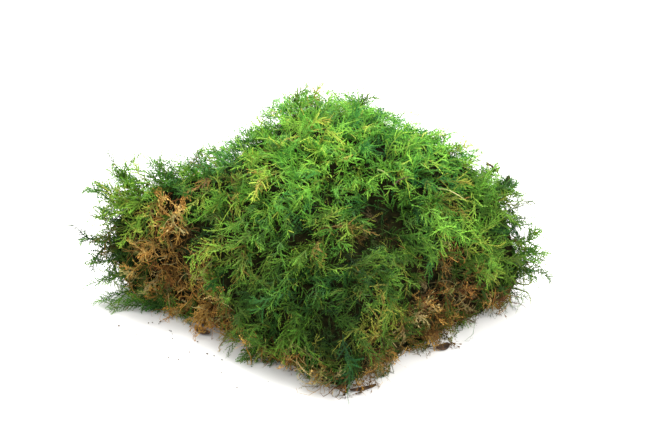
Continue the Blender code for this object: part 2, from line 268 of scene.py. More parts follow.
# Loose shoots: node, slot, route from root to tip, facing, branch length, pairs of branches, tint, shade.
SHOOTS = (
    ("shoot_left_long", "dark_frond", ((-80, -77.4, 30), (-86, -83, 33), (-87.5, -84.5, 36),
     (-90, -87, 39.5), (-93, -90, 39.5)), (0.5, -0.7, 0.5), 3.8, 13, 0.10, 0.34),
    ("shoot_left_low", "dark_frond", ((-79.8, -78.2, 26.2), (-82, -80.2, 21), (-83.5, -81.5, 16.5),
     (-84, -82.5, 11)), (0.5, -0.8, 0.2), 5.6, 9, 0.08, 0.34),
    ("shoot_left_mid", "green_frond", ((-78.5, -69.3, 50), (-82, -73.5, 55), (-86, -77.5, 56.7),
     (-89, -80.5, 56)), (0.4, -0.5, 0.8), 4.6, 11, 0.26, 0.62),
    ("shoot_left_crest", "green_frond", ((-76.3, -62.2, 56.4), (-76.6, -62.6, 65.5), (-72.5, -58.5, 73.5),
     (-69, -55, 76.5)), (0.6, -0.7, 0.3), 5.6, 13, 0.44, 0.80),
    ("shoot_top_mid", "green_frond", ((-32.9, 16.4, 89.7), (-35, 14.5, 94.5), (-33, 16.5, 98),
     (-29.5, 20, 98.5), (-26, 23.5, 96)), (0.6, -0.7, 0.3), 4.6, 14, 0.40, 0.75),
    ("shoot_top_right", "green_frond", ((-7.9, 34.8, 93.4), (-6, 36.5, 96.3), (-3, 39.5, 97),
     (0.5, 43, 95)), (0.6, -0.7, 0.3), 4.6, 12, 0.40, 0.75),
    ("shoot_right_upper", "green_frond", ((78.8, 64.2, 36.6), (80, 66, 40), (81, 67, 43),
     (82.5, 68.5, 44)), (0.7, -0.6, 0.4), 6.4, 11, 0.40, 0.72),
    ("shoot_right_long", "green_frond", ((80.3, 66, 25), (83, 69, 27.3), (85.8, 71.8, 29.8),
     (89.5, 75.5, 30.5)), (0.6, -0.5, 0.6), 4.4, 10, 0.50, 0.62),
    ("shoot_right_mid", "green_frond", ((79.4, 63.3, 12.8), (81.3, 64.6, 14.4), (81.8, 65, 17),
     (81.3, 64.5, 20)), (0.6, -0.7, 0.3), 1.8, 8, 0.60, 0.80),
    ("shoot_right_curl", "green_frond", ((78.9, 62.2, 9.8), (81.2, 63.2, 9), (82.4, 64, 6.2),
     (82.6, 64.2, 2.7)), (0.6, -0.7, 0.3), 1.6, 8, 0.62, 0.65),
)

# Mottled finishes: dark and light colour, noise scale, roughness and, for the beds, shine.
# The beds' near-black colours are painted shade: the dark that fills the mats' insides.
BED_SHADE_FINISH = ((0.003, 0.004, 0.0015), (0.013, 0.012, 0.004), 400, 0.95, 0.02)
CRUMB_FINISH = ((0.03, 0.02, 0.012), (0.12, 0.08, 0.04), 900, 0.9)

# The same for the small nodes: name, finish and nodes.
SMALL_FINISHES = (
    ("twig_bark_fibre", ((0.020, 0.012, 0.007), (0.10, 0.065, 0.035), 900, 0.8),
     ("twig_left", "twig_brown", "twig_edge", "bud_scale")),
    ("pale_straw_fibre", ((0.17, 0.19, 0.05), (0.42, 0.40, 0.16), 700, 0.6),
     ("stalk_pale", "stalk_bent")),
    ("leaf_litter_fibre", ((0.020, 0.014, 0.010), (0.09, 0.050, 0.030), 500, 0.8),
     ("bark_flake_left", "bark_flake_right", "leaf_sliver")),
)


# ---- settings ----


class MossSizes(bpy.types.PropertyGroup):
    """How many fronds, stems and crumbs there are, and how long"""

    frond_count: bpy.props.IntProperty(
        name="Fronds", description="Fronds over the whole green layer", default=2160, min=100
    )
    frond_short: bpy.props.FloatProperty(
        name="Shortest frond", description="Length of the shortest fronds", default=0.014, unit="LENGTH"
    )
    frond_long: bpy.props.FloatProperty(
        name="Longest frond", description="Length of the longest fronds", default=0.030, unit="LENGTH"
    )
    branch_length: bpy.props.FloatProperty(
        name="Branch length", description="Length of a frond's longest branch", default=0.0056, unit="LENGTH"
    )
    branch_pairs: bpy.props.IntProperty(
        name="Branch pairs", description="Pairs of side branches on a frond", default=13, min=3
    )
    relief: bpy.props.FloatProperty(
        name="Relief", description="Height of the tufts above their gaps", default=0.0045, unit="LENGTH"
    )
    dead_count: bpy.props.IntProperty(
        name="Dead shoots", description="Curled dead shoots on the mat's bare sides", default=500, min=10
    )
    strand_count: bpy.props.IntProperty(
        name="Dead strands", description="Bare curled strands on the sides of the mat", default=720, min=10
    )
    crumb_count: bpy.props.IntProperty(
        name="Crumbs", description="Grains of soil and leaf fallen on the floor", default=26, min=1
    )


class MossColours(bpy.types.PropertyGroup):
    """Finishes of the living and the dead shoots"""

    frond_roughness: bpy.props.FloatProperty(
        name="Frond roughness", description="Roughness of the living fronds", default=0.55, subtype="FACTOR"
    )
    frond_glow: bpy.props.FloatProperty(
        name="Frond glow", description="Share of light a frond lets through", default=0.22, subtype="FACTOR"
    )
    dead_roughness: bpy.props.FloatProperty(
        name="Dead stem roughness", description="Roughness of the dead stems", default=0.8, subtype="FACTOR"
    )
    dead_glow: bpy.props.FloatProperty(
        name="Stem glow", description="Share of light a stem lets through", default=0.12, subtype="FACTOR"
    )


class MossStage(bpy.types.PropertyGroup):
    """Floor colour and light"""

    floor_colour: bpy.props.FloatVectorProperty(
        name="Floor", description="Colour of the floor", default=(0.76, 0.755, 0.745), subtype="COLOR"
    )
    key_power: bpy.props.FloatProperty(
        name="Key light", description="Power of the large soft light", default=40.0, unit="POWER"
    )
    fill_power: bpy.props.FloatProperty(
        name="Fill light", description="Power of the light on the right", default=12.0, unit="POWER"
    )
    sky_strength: bpy.props.FloatProperty(
        name="Surrounding light", description="Brightness of the white surroundings", default=1.6
    )


# ---- materials ----


def colour_ramp(nodes, stops):
    """A ramp through the stops, each a position from 0 to 1 and a colour."""
    ramp = nodes.new("ShaderNodeValToRGB")
    ramp.color_ramp.interpolation = "LINEAR"
    elements = ramp.color_ramp.elements
    elements.remove(elements[-1])
    for index, (position, colour) in enumerate(stops):
        element = elements[0] if index == 0 else elements.new(position)
        element.position = position
        element.color = (*colour, 1.0)
    return ramp


def new_material(name, roughness, shine):
    """A new material, its nodes and links, and its main shader."""
    made = bpy.data.materials.new(name)
    made.use_nodes = True
    shader = made.node_tree.nodes["Principled BSDF"]
    shader.inputs["Roughness"].default_value = roughness
    shader.inputs["Specular IOR Level"].default_value = shine
    return made, made.node_tree.nodes, made.node_tree.links, shader


def palette_material(name, tints, shades, roughness, glow):
    """A colour from the piece's palette map: tint across it and shade up it. Some light passes through."""
    made, nodes, links, shader = new_material(name, roughness, shine=0.12)
    uv = nodes.new("ShaderNodeUVMap")
    uv.uv_map = PALETTE_UV
    split = nodes.new("ShaderNodeSeparateXYZ")
    links.new(uv.outputs["UV"], split.inputs["Vector"])
    tint = colour_ramp(nodes, tints)
    shade = colour_ramp(nodes, [(at, (value,) * 3) for at, value in shades])
    links.new(split.outputs["X"], tint.inputs["Fac"])
    links.new(split.outputs["Y"], shade.inputs["Fac"])
    mix = nodes.new("ShaderNodeMix")
    mix.data_type = "RGBA"
    mix.blend_type = "MULTIPLY"
    mix.inputs["Factor"].default_value = 1.0
    links.new(tint.outputs["Color"], mix.inputs["A"])
    links.new(shade.outputs["Color"], mix.inputs["B"])
    links.new(mix.outputs["Result"], shader.inputs["Base Color"])
    passing = nodes.new("ShaderNodeBsdfTranslucent")
    blend = nodes.new("ShaderNodeMixShader")
    blend.inputs["Fac"].default_value = glow
    links.new(mix.outputs["Result"], passing.inputs["Color"])
    links.new(shader.outputs["BSDF"], blend.inputs[1])
    links.new(passing.outputs["BSDF"], blend.inputs[2])
    links.new(blend.outputs["Shader"], nodes["Material Output"].inputs["Surface"])
    return made


def mottled_material(name, dark, light, scale, roughness, shine=0.25):
    """Two colours mottled over the piece's own coordinates, with a fine grain."""
    made, nodes, links, shader = new_material(name, roughness, shine)
    where = nodes.new("ShaderNodeTexCoord")
    mottle = nodes.new("ShaderNodeTexNoise")
    mottle.inputs["Scale"].default_value = scale
    mottle.inputs["Detail"].default_value = 6.0
    links.new(where.outputs["Object"], mottle.inputs["Vector"])
    ramp = colour_ramp(nodes, [(0.35, dark), (0.65, light)])
    links.new(mottle.outputs["Fac"], ramp.inputs["Fac"])
    links.new(ramp.outputs["Color"], shader.inputs["Base Color"])
    bump = nodes.new("ShaderNodeBump")
    bump.inputs["Strength"].default_value = 0.6
    bump.inputs["Distance"].default_value = 0.0008
    links.new(mottle.outputs["Fac"], bump.inputs["Height"])
    links.new(bump.outputs["Normal"], shader.inputs["Normal"])
    return made


def get_material(name, make, *settings):
    """The material of that name, made the first time it is asked for."""
    return bpy.data.materials.get(name) or make(name, *settings)


def frond_material():
    look = bpy.context.scene.moss_colours
    finish = (FROND_TINTS, FROND_SHADES, look.frond_roughness, look.frond_glow)
    return get_material("living_frond", palette_material, *finish)


def dead_material():
    look = bpy.context.scene.moss_colours
    finish = (DEAD_TINTS, DEAD_SHADES, look.dead_roughness, look.dead_glow)
    return get_material("dead_stem_fibre", palette_material, *finish)


# ---- small shapes that repeat ----


def node_copy(node):
    """A copy of a CAD node's mesh with its doubles merged."""
    bm = bmesh.new()
    bm.from_mesh(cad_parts[node].data)
    bmesh.ops.remove_doubles(bm, verts=bm.verts, dist=1e-6)
    return bm


def finished_mesh(bm, name):
    """The mesh of a bmesh, which is freed."""
    mesh = bpy.data.meshes.new(name)
    bm.to_mesh(mesh)
    bm.free()
    return mesh


def mesh_arrays(bm):
    """A bmesh as arrays: points, triangles and the palette offset of each point."""
    bmesh.ops.triangulate(bm, faces=bm.faces)
    bm.verts.index_update()
    points = np.array([vert.co for vert in bm.verts])
    faces = np.array([[vert.index for vert in face.verts] for face in bm.faces])
    bm.free()
    side = np.arange(len(points)) % 3 / 2
    return points, faces, side


def leaflet(bm, place, degrees, length, width, lift):
    """One small leaf: a triangle from the branch to its point."""
    corners = bmesh.ops.create_circle(bm, cap_ends=True, segments=3, radius=1.0)["verts"]
    turn = Matrix.Rotation(math.radians(degrees), 3, "Z")
    for vert, (along, across) in zip(corners, ((1, 0), (0, 0.5), (0, -0.5))):
        vert.co = Vector((place, 0, 0)) + turn @ Vector((along * length, across * width, along * lift))


def branch_shape(rng, pairs, leaf_length, leaf_width):
    """A side branch of unit length along X: a tapered strip with pairs of small leaves."""
    bm = bmesh.new()
    bmesh.ops.create_grid(bm, x_segments=2, y_segments=1, size=0.5)
    for vert in bm.verts:
        along = vert.co.x + 0.5
        vert.co = Vector((along, vert.co.y * BRANCH_WIDTH * (1 - 0.8 * along), 0))
    for pair in range(pairs):
        foot = 0.12 + 0.80 * pair / (pairs - 1)
        length = leaf_length * (1.05 - 0.55 * foot) * rng.uniform(0.8, 1.2)
        for side in (1, -1):
            degrees = side * rng.uniform(*LEAF_ANGLES)
            place = foot + rng.uniform(-0.03, 0.03)
            lift = rng.uniform(-0.05, 0.07)
            leaflet(bm, place, degrees, length, leaf_width, lift)
    return mesh_arrays(bm)


def stem_shape(rings):
    """A three-sided stem of unit length along X and unit radius at the root, open at both ends."""
    bm = bmesh.new()
    bmesh.ops.create_cone(bm, cap_ends=False, segments=3, radius1=1.0, radius2=0.5, depth=1.0)
    long_edges = []
    for edge in bm.edges:
        low, high = edge.verts
        if abs(low.co.z - high.co.z) > 0.5:
            long_edges.append(edge)
    bmesh.ops.subdivide_edges(bm, edges=long_edges, cuts=rings - 1, use_grid_fill=True)
    for vert in bm.verts:
        vert.co = Vector((vert.co.z + 0.5, vert.co.x, vert.co.y))
    return mesh_arrays(bm)


# ---- spines: the curves that shoots grow along ----


def unit(vectors):
    """The vectors at length 1."""
    return vectors / np.maximum(np.linalg.norm(vectors, axis=-1, keepdims=True), 1e-9)


class Spines:
    """Many curves of SPINE_POINTS points each, with the directions ahead, to the side and off the face."""

    def __init__(self, points, facing):
        self.points = points
        self.ahead = unit(np.gradient(points, axis=1))
        self.side = unit(np.cross(facing[:, None, :], self.ahead))
        self.face = np.cross(self.ahead, self.side)

    def chosen(self, mask):
        """Only the spines that the mask keeps."""
        kept = copy.copy(self)
        kept.points, kept.ahead = self.points[mask], self.ahead[mask]
        kept.side, kept.face = self.side[mask], self.face[mask]
        return kept

    def at(self, values, shares):
        """The values at those shares of each curve's length."""
        where = np.clip(shares, 0, 1) * (SPINE_POINTS - 1.000001)
        low = where.astype(int)
        part = (where - low)[None, :, None]
        return values[:, low] * (1 - part) + values[:, low + 1] * part


def arched(root, bend, tip):
    """Spine points along a quadratic curve for each root, bend and tip."""
    share = np.linspace(0, 1, SPINE_POINTS)[None, :, None]
    curve = (1 - share) ** 2 * root[:, None] + 2 * share * (1 - share) * bend[:, None]
    return curve + share**2 * tip[:, None]


def through(route):
    """Spine points along a smooth curve through a route's points."""
    knots = [Vector(point) for point in route]
    spans = len(knots) - 1
    points = []
    for step in range(SPINE_POINTS):
        share = step / (SPINE_POINTS - 1) * spans
        span = min(int(share), spans - 1)
        part = share - span
        start, end = knots[span], knots[span + 1]
        before = knots[span - 1] if span else 2 * start - end
        after = knots[span + 2] if span + 2 <= spans else 2 * end - start
        slope_in, slope_out = (end - before) / 2, (after - start) / 2
        square, cube = part**2, part**3
        ends = start * (2 * cube - 3 * square + 1) + end * (3 * square - 2 * cube)
        points.append(ends + slope_in * (cube - 2 * square + part) + slope_out * (cube - square))
    return np.array(points)[None]


# ---- growing fronds on spines ----


class Growth:
    """A piece's points, triangles and palette places, as it is put together."""

    def __init__(self):
        self.points, self.faces, self.map = [], [], []
        self.count = 0

    def add(self, points, faces, places):
        """Adds points, their triangles and a palette place for each point."""
        self.points.append(points.reshape(-1, 3))
        self.map.append(places.reshape(-1, 2))
        self.faces.append(faces.reshape(-1, 3) + self.count)
        self.count += len(self.points[-1])

    def repeat(self, shape, points, tint, shade):
        """Adds one copy of the shape for each row of points, with its tint and a shade for each point."""
        _, faces, side = shape
        copies, corners = points.shape[:2]
        places = np.stack([tint[:, None] + 0.012 * side[None, :], shade], axis=-1)
        starts = np.arange(copies)[:, None, None] * corners
        self.add(points, faces[None] + starts, places)

    def finish(self, name, finish, slot, replaced=()):
        """Makes the piece's mesh, with nothing of it below the floor."""
        points = np.concatenate(self.points)
        faces = np.concatenate(self.faces).astype(np.int32)
        places = np.clip(np.concatenate(self.map), 0.01, 0.99)
        low = points[:, 2] < FLOOR_CLEARANCE
        points[low, 2] = FLOOR_CLEARANCE * (1.0 + 0.5 * np.tanh(-points[low, 2] / 0.004))
        mesh = bpy.data.meshes.new(name)
        mesh.vertices.add(len(points))
        mesh.vertices.foreach_set("co", points.astype(np.float32).ravel())
        mesh.loops.add(faces.size)
        mesh.loops.foreach_set("vertex_index", faces.ravel())
        mesh.polygons.add(len(faces))
        mesh.polygons.foreach_set("loop_start", np.arange(0, faces.size, 3, dtype=np.int32))
        uv = mesh.uv_layers.new(name=PALETTE_UV)
        uv.data.foreach_set("uv", places[faces.ravel()].astype(np.float32).ravel())
        mesh.update(calc_edges=True)
        mesh.materials.append(finish)
        return add_piece(name, mesh, replaced)


def add_piece(name, mesh, replaced=()):
    """Put a finished mesh in the scene as a piece of the clump."""
    if not mesh.polygons:
        raise RuntimeError(f"{name} has no faces")
    piece = bpy.data.objects.new(name, mesh)
    bpy.context.scene.collection.objects.link(piece)
    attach(piece, BODY)
    if replaced:
        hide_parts(*replaced)
    return piece


def grow_stems(growth, shape, spines, radius, tint, shade):
    """A stem along each spine, with painted shade that darkens it towards its root."""
    points = shape[0]
    centre = spines.at(spines.points, points[:, 0])
    side = spines.at(spines.side, points[:, 0])
    face = spines.at(spines.face, points[:, 0])
    thick = radius[:, None, None] * (1 - 0.55 * points[None, :, 0, None])
    placed = centre + (side * points[None, :, 1, None] + face * points[None, :, 2, None]) * thick
    # Painted shade: each stem is darker towards its root, down in the mat.
    shades = shade[:, None] * (0.35 + 0.65 * points[None, :, 0])
    growth.repeat(shape, placed, tint, shades)


def grow_branches(growth, shapes, spines, rng, pairs, length, tint, shade, spread=1.0, curl=1.0):
    """Pairs of side branches along each spine, longest a third of the way up and shorter to the tip, with
    painted light and shade that make them lighter towards their own tips and the frond's tip.
    """
    grid = (len(spines.points), pairs)
    first, span = 0.10, 0.88
    share = first + span * np.linspace(0, 1, pairs)
    outline = np.sin(np.pi * (0.16 + 0.80 * share)) ** 0.8 * (1.15 - 0.45 * share)
    foot_angle, tip_angle = BRANCH_ANGLES
    lean = np.radians(foot_angle + (tip_angle - foot_angle) * share)[None, :] * spread
    for side_sign in (1, -1):
        shift = share + side_sign * 0.25 * span / pairs
        roots = spines.at(spines.points, shift)
        ahead = spines.at(spines.ahead, shift)
        side = spines.at(spines.side, shift) * side_sign
        face = spines.at(spines.face, shift)
        angle = lean + rng.normal(0, 0.16, grid)
        lift = rng.normal(0.10, 0.20, grid)
        along = unit(
            ahead * np.cos(angle)[..., None] + side * np.sin(angle)[..., None] + face * lift[..., None]
        )
        across = unit(np.cross(face, along))
        off = np.cross(along, across)
        reach = length[:, None] * outline[None, :] * rng.uniform(0.72, 1.18, grid)
        sweep = rng.normal(-0.20, 0.22, grid) * side_sign * curl
        droop = rng.normal(-0.12, 0.28, grid) * curl
        which = rng.integers(0, len(shapes), grid)
        tints = tint[:, None] + rng.normal(0, 0.035, grid) + 0.05 * (share[None, :] - 0.5)
        tints = tints + 0.28 * (rng.uniform(0, 1, grid) < DRY_BRANCHES)
        lights = rng.uniform(0.72, 1.10, grid)
        for index, shape in enumerate(shapes):
            chosen = which == index
            points = shape[0]
            x = points[None, :, 0]
            y = points[None, :, 1] + sweep[chosen][:, None] * x**2
            z = points[None, :, 2] + droop[chosen][:, None] * x**2
            size = reach[chosen][:, None, None]
            placed = roots[chosen][:, None] + size * (
                along[chosen][:, None] * x[..., None]
                + across[chosen][:, None] * y[..., None]
                + off[chosen][:, None] * z[..., None]
            )
            frond_share = np.broadcast_to(share[None, :], grid)[chosen]
            frond_shade = np.broadcast_to(shade[:, None], grid)[chosen]
            # Painted light and shade: darker at the branch's foot and low on the frond, lighter towards the
            # tips.
            painted_light_outward = 0.36 + 0.40 * x + 0.30 * frond_share[:, None]
            shades = (frond_shade * lights[chosen])[:, None] * painted_light_outward
            growth.repeat(shape, placed, tints[chosen], shades)


# ---- the block's surface ----


class Ground:
    """The part of one CAD node's surface that things grow on."""

    def __init__(self, node, keep):
        bm = node_copy(node)
        bmesh.ops.triangulate(bm, faces=bm.faces)
        bm.normal_update()
        kept = [face for face in bm.faces if keep(face.calc_center_median(), face.normal)]
        self.corners = np.array([[vert.co for vert in face.verts] for face in kept])
        self.normals = np.array([[vert.normal for vert in face.verts] for face in kept])
        first, second, third = self.corners.swapaxes(0, 1)
        self.area = np.linalg.norm(np.cross(second - first, third - first), axis=1) / 2
        bm.free()

    def scatter(self, rng, count):
        """Places at random, one in each of count equal shares of the area, and the way outward at each."""
        edges = np.cumsum(self.area)
        picks = (np.arange(count) + rng.uniform(0, 1, count)) / count * edges[-1]
        face = np.clip(np.searchsorted(edges, picks), 0, len(edges) - 1)
        first, second = rng.uniform(0, 1, (2, count))
        over = first + second > 1
        first[over] = 1 - first[over]
        second[over] = 1 - second[over]
        weights = np.stack([1 - first - second, first, second], axis=1)[..., None]
        return (self.corners[face] * weights).sum(1), unit((self.normals[face] * weights).sum(1))


def faces_out(place, normal):
    """Whether a surface at a place faces away from the middle of the clump."""
    outward = Vector((place.x, place.y, max(0.0, place.z - 0.030)))
    return normal.dot(outward.normalized()) > 0.15


def noise_at(points, size, seed):
    """Smooth noise between about -1 and 1 at each point."""
    shift = Vector((seed * 7.31, seed * 3.17, seed * 5.53))
    return np.array([noise.noise(Vector(point) / size + shift) for point in points]) * 1.6


def away_from(place, reach, points):
    """How far each point is from a place, in reaches, where both are given in millimetres."""
    return np.linalg.norm(points - np.array(place) * MM, axis=1) / (reach * MM)


def worn_at(points):
    """How bare of green each point is, from 0 to 1, from WORN."""
    bare = np.zeros(len(points))
    for place, reach, amount in WORN:
        bare = np.maximum(bare, amount * np.clip(1.35 - away_from(place, reach, points), 0, 1))
    return bare


def tufts_at(points):
    """How far the shoots at each point stand up in an airy tuft, from TUFTS."""
    total = np.zeros(len(points))
    for place, reach, amount in TUFTS:
        total += amount * np.exp(-(away_from(place, reach, points) ** 2))
    return total


def patch_shifts(points):
    """Tint shift, shade shift and sinking at each point, from PATCHES. The shade shift is mostly painted
    shade in crevices and painted light on lit parts.
    """
    total = np.zeros((len(points), 3))
    for place, reach, tint, shade, sink in PATCHES:
        weight = np.exp(-(away_from(place, reach, points) ** 2))
        total += weight[:, None] * np.array([tint, shade, sink * MM])[None]
    return total


# ---- the pieces ----


def build_bed(node, name, inset):
    """The dense inside of a mat, a little under the surface that its fronds make, in a near-black finish
    that paints the shade between the fronds.
    """
    bm = node_copy(node)
    bm.normal_update()
    base = min(vert.co.z for vert in bm.verts)
    for vert in bm.verts:
        inward = -vert.normal if faces_out(vert.co, vert.normal) else vert.normal
        if vert.co.z < base + MM:
            inward = Vector((-vert.co.x, -vert.co.y, 0)).normalized()
        vert.co += inward * inset * (1 + 0.3 * noise.noise(vert.co / 0.006))
        vert.co.z = max(vert.co.z, FLOOR_CLEARANCE)
    mesh = finished_mesh(bm, name)
    mesh.shade_smooth()
    # The near-black bed finish is painted shade.
    mesh.materials.append(get_material("matted_bed", mottled_material, *BED_SHADE_FINISH))
    return add_piece(name, mesh, (node,))


def wiggled(rng, points, amount):
    """The spines with smooth random waves in them that grow from the root."""
    count = len(points)
    share = np.linspace(0, 1, SPINE_POINTS)[None, :, None]
    for turns in (0.7, 1.6):
        phase = rng.uniform(0, 2 * np.pi, (count, 1, 3))
        swing = rng.normal(0, 1, (count, 1, 3)) * amount / turns
        wave = np.sin(2 * np.pi * turns * share + phase) - np.sin(phase)
        points = points + swing * wave * np.sqrt(share)
    return points


def frond_spines(rng, places, outward, lengths, relief):
    """Arched spines that lie down the slope like thatch, with some that stand up at the crown."""
    count = len(places)
    down = np.array([0, 0, -1.0])
    radial = unit(places * np.array([1, 1, 0]) + 1e-6)
    upness = np.clip(outward[:, 2], 0, 1)
    rise = upness[:, None]
    slope = down[None] * (1 - rise) + radial * (0.25 + 0.75 * rise)
    slope = unit(slope - outward * (slope * outward).sum(1, keepdims=True))
    across = np.cross(outward, slope)
    swirl = noise_at(places, 0.022, 4.0) * 1.5 + rng.normal(0, 0.8, count)
    heading = slope * np.cos(swirl)[:, None] + across * np.sin(swirl)[:, None]
    stand = rng.normal(0.02 + 0.13 * upness**2, 0.10)
    stand += (rng.uniform(0, 1, count) < 0.04 + 0.06 * upness) * rng.uniform(0.3, 0.8, count)
    stand += tufts_at(places) * rng.uniform(0.4, 1.2, count)
    stand = np.clip(stand, -0.12, 1.0)[:, None]
    sky = unit(outward + np.array([0, 0, 0.8]))
    length = lengths[:, None]
    surface = places + outward * relief[:, None]
    depth = rng.uniform(0.25, 0.42, count)[:, None] * length
    root = surface - heading * (0.50 - 0.35 * stand) * length - outward * depth
    arch = rng.uniform(0.00, 0.14, count)[:, None] + 0.25 * stand
    bend = surface - heading * (0.12 - 0.10 * stand) * length + outward * arch * length
    tip = surface + heading * (0.46 - 0.20 * stand) * length + sky * (0.02 + 0.52 * stand) * length
    facing = unit(outward + rng.normal(0, 0.50, (count, 3)) + stand * rng.normal(0, 1.0, (count, 3)))
    return Spines(wiggled(rng, arched(root, bend, tip), 0.0019), facing)


def frond_looks(rng, places, relief, shifts):
    """Tint and shade of each frond from its height, relief and patch. The shade is painted light and shade:
    lighter high up on the crown and darker in low hollows and sunk crevices.
    """
    height = places[:, 2] / CLUMP_HEIGHT
    patchy = noise_at(places, 0.015, 1.0)
    fine = noise_at(places, 0.006, 2.0)
    fresh_and_top_lit = np.clip((height - 0.35) / 0.6, 0, 1)
    tint = 0.385 - 0.075 * fresh_and_top_lit + 0.135 * patchy + 0.08 * fine + rng.normal(0, 0.09, len(places))
    tint += shifts[:, 0]
    dry = rng.uniform(0, 1, len(places)) < DRY_FRONDS
    tint[dry] += 0.30
    # Painted light and shade: lighter high on the crown and on raised tufts, darker in hollows. The patchy
    # and random terms are the fronds' own tone.
    shade = 0.50 + 0.64 * fresh_and_top_lit**1.5 + 0.08 * patchy + 36 * relief + rng.normal(0, 0.08, len(places))
    # Shade shift from PATCHES: painted shade in crevices and hollows, painted light on lit parts.
    shade += shifts[:, 1]
    return np.clip(tint, 0.02, 0.93), np.clip(shade, 0.22, 1.2)


def side_of(place, outward):
    """The name of the piece that a frond belongs to."""
    kind = "crown" if outward[2] > CROWN_SLOPE else "side"
    angle = math.degrees(math.atan2(place[1], place[0]))
    for name, start in (("right", -45), ("back", 45), ("front", -135)):
        if start <= angle < start + 90:
            return f"fronds_{kind}_{name}"
    return f"fronds_{kind}_left"


def mat_sides():
    """The sides of the dead mat that the green layer leaves open."""
    bm = bmesh.new()
    bm.from_mesh(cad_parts["canopy"].data)
    cover = BVHTree.FromBMesh(bm)
    bm.free()

    def is_open(centre, normal):
        if centre.z < 0.001 or abs(normal.z) > 0.8:
            return False
        outward = Vector((centre.x, centre.y, 0)).normalized()
        if normal.dot(outward) < 0.1:
            return False
        return cover.ray_cast(centre + outward * MM, outward, 0.03)[0] is None

    return Ground("thatch", is_open)


def scatter_both(rng, count, first, second):
    """Places spread over two grounds, shared out by their areas."""
    share = first.area.sum() / (first.area.sum() + second.area.sum())
    first_places, first_outward = first.scatter(rng, int(count * share))
    second_places, second_outward = second.scatter(rng, int(count * (1 - share)))
    places = np.concatenate([first_places, second_places])
    return places, np.concatenate([first_outward, second_outward])


def build_fronds():
    """The living fronds, fewer where the clump is worn: one piece for each quarter of crown and sides."""
    sizes = bpy.context.scene.moss_sizes
    rng = np.random.default_rng(FROND_SEED)
    shapes = [branch_shape(rng, pairs=5, leaf_length=0.26, leaf_width=0.066) for _ in range(6)]
    stem = stem_shape(6)
    ground = Ground("canopy", faces_out)
    ground.area = ground.area * (1 + 0.5 * tufts_at(ground.corners.mean(1)))
    places, outward = scatter_both(rng, sizes.frond_count, ground, mat_sides())
    kept = rng.uniform(0, 1, len(places)) > THINNING * worn_at(places)
    places, outward = places[kept], outward[kept]
    shifts = patch_shifts(places)
    relief = np.clip(noise_at(places, 0.013, 3.0) * sizes.relief, *FROND_RELIEF) - shifts[:, 2] - FROND_SINK
    lengths = rng.uniform(sizes.frond_short, sizes.frond_long, len(places)) * (1 + 0.35 * tufts_at(places))
    lengths = np.minimum(lengths, LONGEST_FROND)
    tint, shade = frond_looks(rng, places, relief, shifts)
    sides = np.array([side_of(place, normal) for place, normal in zip(places, outward)])
    for name in sorted(set(sides)):
        mine = sides == name
        spines = frond_spines(rng, places[mine], outward[mine], lengths[mine], relief[mine])
        near_tips = spines.points[:, -4]
        over_bare = worn_at(near_tips) * rng.uniform(0.5, 1.3, mine.sum()) > BARE_LIMIT
        mine[mine] = ~over_bare
        spines = spines.chosen(~over_bare)
        tints, shades = tint[mine], shade[mine]
        growth = Growth()
        radii = np.full(mine.sum(), FROND_STEM_RADIUS)
        grow_stems(growth, stem, spines, radii, np.clip(tints + 0.12, 0, 0.9), shades * 0.9)
        reach = sizes.branch_length * (0.55 + 0.45 * lengths[mine] / sizes.frond_long)
        pairs = sizes.branch_pairs
        grow_branches(growth, shapes, spines, rng, pairs, reach, tints, shades, curl=1.8)
        growth.finish(name, frond_material(), "green_frond")


def dead_looks(rng, places, relief, shifts):
    """Tint and shade of each dead stem: painted shade makes them darker in hollows and on the right, where
    more are olive.
    """
    patchy = noise_at(places, 0.012, 6.0)
    tint = 0.55 + 0.22 * patchy + rng.normal(0, 0.14, len(places))
    right = places[:, 0] > RIGHT_SIDE
    olive = rng.uniform(0, 1, len(places)) < np.where(right, 0.24, 0.12)
    tint[olive] = rng.uniform(0.84, 0.99, olive.sum())
    # Painted shade: darker on the right and where the relief sinks into hollows. The patchy and random terms
    # are the stems' own tone.
    shade = np.where(right, 0.35, 0.80) + 95 * relief + 0.10 * patchy + rng.normal(0, 0.22, len(places))
    # Shade shift from PATCHES: painted shade in crevices and hollows.
    shade += shifts[:, 1]
    return np.clip(tint, 0.02, 0.98), np.clip(shade, 0.10, 1.0)


def dead_spines(rng, places, outward, lengths, wave):
    """Short spines that set off in any direction across the surface and curl as they go."""
    count = len(places)
    loose = rng.normal(0, 1, (count, 3))
    loose = unit(loose - outward * (loose * outward).sum(1, keepdims=True))
    fall = np.where(places[:, 2:] < 0.008, 0.5, -0.3) * np.array([0, 0, 1.0])
    ahead = unit(loose + outward * rng.uniform(-0.1, 0.5, (count, 1)) + fall)
    length = lengths[:, None]
    root = places - outward * 0.0035 - ahead * length * 0.3
    bend = places + ahead * length * 0.2 + outward * rng.uniform(-0.1, 0.3, (count, 1)) * length
    tip = places + ahead * length * 0.7 + outward * rng.normal(-0.05, 0.15, (count, 1)) * length
    facing = unit(outward + rng.normal(0, 0.5, (count, 3)))
    return Spines(wiggled(rng, arched(root, bend, tip), wave), facing)


def spray_spines(rng, ends, tilt, wave):
    """Spines from roots past bends to tips, facing the clump's open side."""
    roots, bends, tips = ends
    facing = unit(rng.normal(0, tilt, roots.shape) + np.array(OPEN_SIDE))
    return Spines(wiggled(rng, arched(roots, bends, tips), wave), facing)


def grow_dead_branches(growth, shapes, spines, rng, pairs, reach, tint, shade):
    """Side branches of one length, wide and curled as on dead shoots."""
    length = np.full(len(tint), reach)
    grow_branches(growth, shapes, spines, rng, pairs, length, tint, shade, spread=1.1, curl=2.4)


